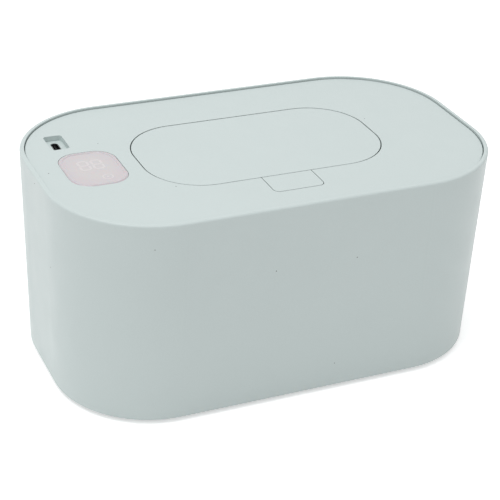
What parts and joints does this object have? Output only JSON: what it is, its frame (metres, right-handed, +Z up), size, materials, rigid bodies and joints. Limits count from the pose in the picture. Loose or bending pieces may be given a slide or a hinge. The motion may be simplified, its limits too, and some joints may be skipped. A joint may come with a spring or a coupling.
{
  "type": "baby wipe warmer",
  "caption": "Rounded box that warms baby wipes: lift-off heated cover with a push-release dispensing flap, digit display window and power socket pocket on a drafted double-walled tub.",
  "frame": {"origin": "middle of the footprint, on the surface that the feet stand on", "axes": "+X along the long side, to the right as seen from the button side; +Y from the button side to the hinge side; +Z up"},
  "size_m": [0.2, 0.12, 0.095],
  "materials": {
    "body_plastic": "satin moulded ABS, very pale mint grey",
    "inner_plastic": "satin moulded polypropylene, off white",
    "foam": "closed-cell foam",
    "foot_rubber": "matt grey silicone rubber",
    "seal_silicone": "soft grey silicone",
    "outlet_silicone": "soft pale silicone",
    "screw_steel": "zinc-plated steel",
    "pin_steel": "ground stainless steel",
    "spring_steel": "drawn spring wire",
    "socket_steel": "drawn stainless sheet",
    "plate_aluminium": "anodised sheet",
    "film": "amber film heater",
    "lead_silicone": "silicone wire sleeve",
    "board": "green solder mask",
    "black_plastic": "black moulded plastic",
    "module_plastic": "dark digit module",
    "window_plastic": "glossy milky translucent window",
    "slider_plastic": "natural acetal"
  },
  "bodies": {
    "tub": {"tub_shell": "body_plastic", "tub_liner": "inner_plastic", "wall_insulation": "foam", "floor_insulation": "foam", "feet": "foot_rubber"},
    "cover": {"cover_panel": "body_plastic", "cover_gasket": "seal_silicone", "cover_base": "inner_plastic", "cover_screws": "screw_steel", "heater_plate": "plate_aluminium", "heating_film": "film", "heater_insulation": "foam", "thermal_cutout": "black_plastic", "heater_leads": "lead_silicone", "control_pcb": "board", "pcb_screws": "screw_steel", "display_module": "module_plastic", "display_window": "window_plastic", "usb_shell": "socket_steel", "usb_tongue": "black_plastic", "dispensing_outlet": "outlet_silicone", "hinge_pin": "pin_steel", "hinge_springs": "spring_steel", "latch_retainer": "inner_plastic", "retainer_screws": "screw_steel", "latch_spring": "spring_steel"},
    "flap": {"flap_lid": "body_plastic", "flap_frame": "inner_plastic", "flap_seal": "seal_silicone"},
    "button": {"release_button": "body_plastic"},
    "latch": {"latch_slider": "slider_plastic"}
  },
  "joints": [
    {"name": "cover_lift", "type": "slide", "parent": "tub", "child": "cover", "axis": [0, 0, 1], "range_m": [0, 0.1]},
    {"name": "flap_hinge", "type": "hinge", "parent": "cover", "child": "flap", "pos_m": [0, 0.035, 0.0898], "axis": [-1, 0, 0], "range_deg": [0, 90], "deforming": ["hinge_springs"]},
    {"name": "button_press", "type": "slide", "parent": "cover", "child": "button", "axis": [0, 0, -1], "range_m": [0, 0.0015], "stiffness_N_per_m": 200, "springref_m": -0.001},
    {"name": "latch_slide", "type": "slide", "parent": "cover", "child": "latch", "axis": [0, -1, 0], "range_m": [0, 0.0015], "deforming": ["latch_spring"]}
  ],
  "couplings": [
    {"joint": "latch_slide", "follows": "button_press", "ratio": 1}
  ]
}
